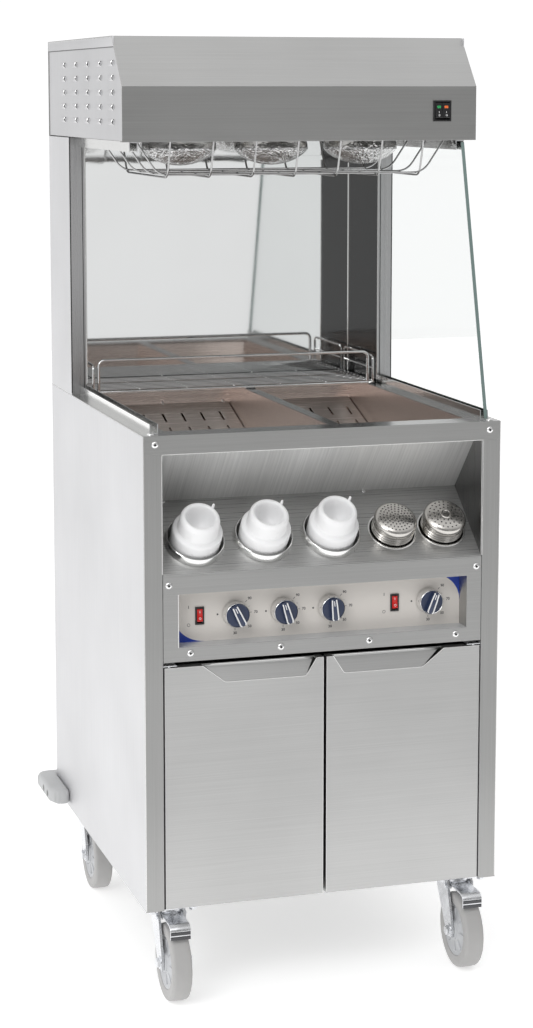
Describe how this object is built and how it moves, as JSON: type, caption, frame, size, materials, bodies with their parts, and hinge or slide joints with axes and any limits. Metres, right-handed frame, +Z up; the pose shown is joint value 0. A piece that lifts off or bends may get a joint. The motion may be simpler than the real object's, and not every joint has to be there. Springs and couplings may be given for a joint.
{
  "type": "food holding cabinet",
  "caption": "Heated station on castors for holding fried food: two wells under a lamp hood, recess for bottles and shakers, controls and cupboard.",
  "frame": {"origin": "centre of the bounding box in plan, on the floor", "axes": "+X to the right seen from the front, +Y from front to rear, +Z up"},
  "size_m": [0.67, 0.755, 1.545],
  "materials": {
    "brushed_steel": "brushed, grain across the sheet",
    "pale_steel": "fine satin, pale",
    "mirror_steel": "polished",
    "polished_steel": "polished",
    "zinc": "bright zinc plate",
    "tyre_grey": "moulded grey",
    "bumper_plastic": "moulded grey",
    "panel_beige": "satin warm grey with blue corners",
    "appliance_metal": "plain",
    "heater_mat": "silicone",
    "reflector": "semi-bright",
    "ceramic": "glazed ceramic",
    "lamp_glass": "half-mirrored heat lamp",
    "clear_glass": "toughened, green at the edge",
    "black_plastic": "moulded",
    "bottle_plastic": "translucent white",
    "knob_navy": "navy face on a metal skirt",
    "rocker_red": "translucent",
    "rocker_green": "translucent, lit",
    "rocker_amber": "translucent, lit"
  },
  "bodies": {
    "cabinet": {"side_panel_left": "pale_steel", "side_panel_right": "pale_steel", "base_floor": "brushed_steel", "rear_panel": "brushed_steel", "electrics_tray": "brushed_steel", "deck": "brushed_steel", "well_left": "brushed_steel", "well_right": "brushed_steel", "well_heaters": "heater_mat", "recess_liner": "brushed_steel", "holder_cups": "polished_steel", "fascia": "brushed_steel", "control_panel": "panel_beige", "thermostats": "appliance_metal", "switch_bezels": "black_plastic", "hinge_brackets": "zinc", "column_left": "pale_steel", "column_right": "pale_steel", "mirror_panel": "mirror_steel", "hood_shell": "brushed_steel", "hood_cheeks": "pale_steel", "lamp_tray": "reflector", "lamp_sockets": "ceramic", "heat_lamps": "lamp_glass", "lamp_guard": "zinc", "side_glass": "clear_glass", "glass_channels": "zinc", "corner_bumpers": "bumper_plastic", "screws": "polished_steel", "caster_plates": "zinc", "cable_gland": "black_plastic"},
    "fry_rack": {"fry_rack": "zinc"},
    "screen_left": {"screen_left": "brushed_steel"},
    "screen_right": {"screen_right": "brushed_steel"},
    "bottle_1": {"bottle_1": "bottle_plastic"},
    "bottle_2": {"bottle_2": "bottle_plastic"},
    "bottle_3": {"bottle_3": "bottle_plastic"},
    "shaker_1": {"shaker_1": "polished_steel"},
    "shaker_2": {"shaker_2": "polished_steel"},
    "knob_1": {"knob_1": "knob_navy"},
    "knob_2": {"knob_2": "knob_navy"},
    "knob_3": {"knob_3": "knob_navy"},
    "knob_4": {"knob_4": "knob_navy"},
    "panel_rocker_left": {"panel_rocker_left": "rocker_red"},
    "panel_rocker_right": {"panel_rocker_right": "rocker_red"},
    "hood_rocker_left": {"hood_rocker_left": "rocker_green"},
    "hood_rocker_right": {"hood_rocker_right": "rocker_amber"},
    "door_left": {"door_left": "brushed_steel"},
    "door_right": {"door_right": "brushed_steel"},
    "caster_fork_front_left": {"caster_fork_front_left": "zinc"},
    "caster_wheel_front_left": {"caster_wheel_front_left": "tyre_grey"},
    "caster_fork_front_right": {"caster_fork_front_right": "zinc"},
    "caster_wheel_front_right": {"caster_wheel_front_right": "tyre_grey"},
    "caster_fork_rear_left": {"caster_fork_rear_left": "zinc"},
    "caster_wheel_rear_left": {"caster_wheel_rear_left": "tyre_grey"},
    "caster_fork_rear_right": {"caster_fork_rear_right": "zinc"},
    "caster_wheel_rear_right": {"caster_wheel_rear_right": "tyre_grey"},
    "brake_pedal_left": {"brake_pedal_left": "zinc"},
    "brake_pedal_right": {"brake_pedal_right": "zinc"}
  },
  "joints": [
    {"name": "rack_lift", "type": "slide", "parent": "cabinet", "child": "fry_rack", "axis": [0, 0, 1], "range_m": [0, 0.15]},
    {"name": "screen_left_lift", "type": "slide", "parent": "cabinet", "child": "screen_left", "axis": [0, 0, 1], "range_m": [0, 0.03]},
    {"name": "screen_right_lift", "type": "slide", "parent": "cabinet", "child": "screen_right", "axis": [0, 0, 1], "range_m": [0, 0.03]},
    {"name": "bottle_1_lift", "type": "slide", "parent": "cabinet", "child": "bottle_1", "axis": [0, -0.6279, 0.7783], "range_m": [0, 0.15]},
    {"name": "bottle_2_lift", "type": "slide", "parent": "cabinet", "child": "bottle_2", "axis": [0, -0.6279, 0.7783], "range_m": [0, 0.15]},
    {"name": "bottle_3_lift", "type": "slide", "parent": "cabinet", "child": "bottle_3", "axis": [0, -0.6279, 0.7783], "range_m": [0, 0.15]},
    {"name": "shaker_1_lift", "type": "slide", "parent": "cabinet", "child": "shaker_1", "axis": [0, -0.6279, 0.7783], "range_m": [0, 0.11]},
    {"name": "shaker_2_lift", "type": "slide", "parent": "cabinet", "child": "shaker_2", "axis": [0, -0.6279, 0.7783], "range_m": [0, 0.11]},
    {"name": "knob_1_turn", "type": "hinge", "parent": "cabinet", "child": "knob_1", "pos_m": [-0.142, -0.302, 0.627], "axis": [0, 1, 0], "range_deg": [-244, 26]},
    {"name": "knob_2_turn", "type": "hinge", "parent": "cabinet", "child": "knob_2", "pos_m": [-0.061, -0.302, 0.627], "axis": [0, 1, 0], "range_deg": [-253, 17]},
    {"name": "knob_3_turn", "type": "hinge", "parent": "cabinet", "child": "knob_3", "pos_m": [0.019, -0.302, 0.627], "axis": [0, 1, 0], "range_deg": [-265, 5]},
    {"name": "knob_4_turn", "type": "hinge", "parent": "cabinet", "child": "knob_4", "pos_m": [0.189, -0.302, 0.627], "axis": [0, 1, 0], "range_deg": [-111, 159]},
    {"name": "panel_rocker_left_tilt", "type": "hinge", "parent": "cabinet", "child": "panel_rocker_left", "pos_m": [-0.201, -0.297, 0.627], "axis": [1, 0, 0], "range_deg": [0, 14]},
    {"name": "panel_rocker_right_tilt", "type": "hinge", "parent": "cabinet", "child": "panel_rocker_right", "pos_m": [0.13, -0.297, 0.627], "axis": [1, 0, 0], "range_deg": [0, 14]},
    {"name": "hood_rocker_left_tilt", "type": "hinge", "parent": "cabinet", "child": "hood_rocker_left", "pos_m": [0.2336, -0.208, 1.425], "axis": [1, 0, 0], "range_deg": [0, 14]},
    {"name": "hood_rocker_right_tilt", "type": "hinge", "parent": "cabinet", "child": "hood_rocker_right", "pos_m": [0.2464, -0.208, 1.425], "axis": [1, 0, 0], "range_deg": [0, 14]},
    {"name": "door_left_hinge", "type": "hinge", "parent": "cabinet", "child": "door_left", "pos_m": [-0.2585, -0.329, 0.355], "axis": [0, 0, -1], "range_deg": [0, 110]},
    {"name": "door_right_hinge", "type": "hinge", "parent": "cabinet", "child": "door_right", "pos_m": [0.2585, -0.329, 0.355], "axis": [0, 0, 1], "range_deg": [0, 110]},
    {"name": "swivel_front_left", "type": "hinge", "parent": "cabinet", "child": "caster_fork_front_left", "pos_m": [-0.25, -0.277, 0.1445], "axis": [0, 0, 1], "continuous": true},
    {"name": "wheel_front_left", "type": "hinge", "parent": "caster_fork_front_left", "child": "caster_wheel_front_left", "pos_m": [-0.25, -0.315, 0.0625], "axis": [1, 0, 0], "continuous": true},
    {"name": "swivel_front_right", "type": "hinge", "parent": "cabinet", "child": "caster_fork_front_right", "pos_m": [0.25, -0.277, 0.1445], "axis": [0, 0, 1], "continuous": true},
    {"name": "wheel_front_right", "type": "hinge", "parent": "caster_fork_front_right", "child": "caster_wheel_front_right", "pos_m": [0.25, -0.315, 0.0625], "axis": [1, 0, 0], "continuous": true},
    {"name": "swivel_rear_left", "type": "hinge", "parent": "cabinet", "child": "caster_fork_rear_left", "pos_m": [-0.25, 0.28, 0.1445], "axis": [0, 0, 1], "continuous": true},
    {"name": "wheel_rear_left", "type": "hinge", "parent": "caster_fork_rear_left", "child": "caster_wheel_rear_left", "pos_m": [-0.25, 0.242, 0.0625], "axis": [1, 0, 0], "continuous": true},
    {"name": "swivel_rear_right", "type": "hinge", "parent": "cabinet", "child": "caster_fork_rear_right", "pos_m": [0.25, 0.28, 0.1445], "axis": [0, 0, 1], "continuous": true},
    {"name": "wheel_rear_right", "type": "hinge", "parent": "caster_fork_rear_right", "child": "caster_wheel_rear_right", "pos_m": [0.25, 0.242, 0.0625], "axis": [1, 0, 0], "continuous": true},
    {"name": "brake_pedal_left_press", "type": "hinge", "parent": "caster_fork_front_left", "child": "brake_pedal_left", "pos_m": [-0.25, -0.297, 0.134], "axis": [1, 0, 0], "range_deg": [0, 4]},
    {"name": "brake_pedal_right_press", "type": "hinge", "parent": "caster_fork_front_right", "child": "brake_pedal_right", "pos_m": [0.25, -0.297, 0.134], "axis": [1, 0, 0], "range_deg": [0, 4]}
  ]
}
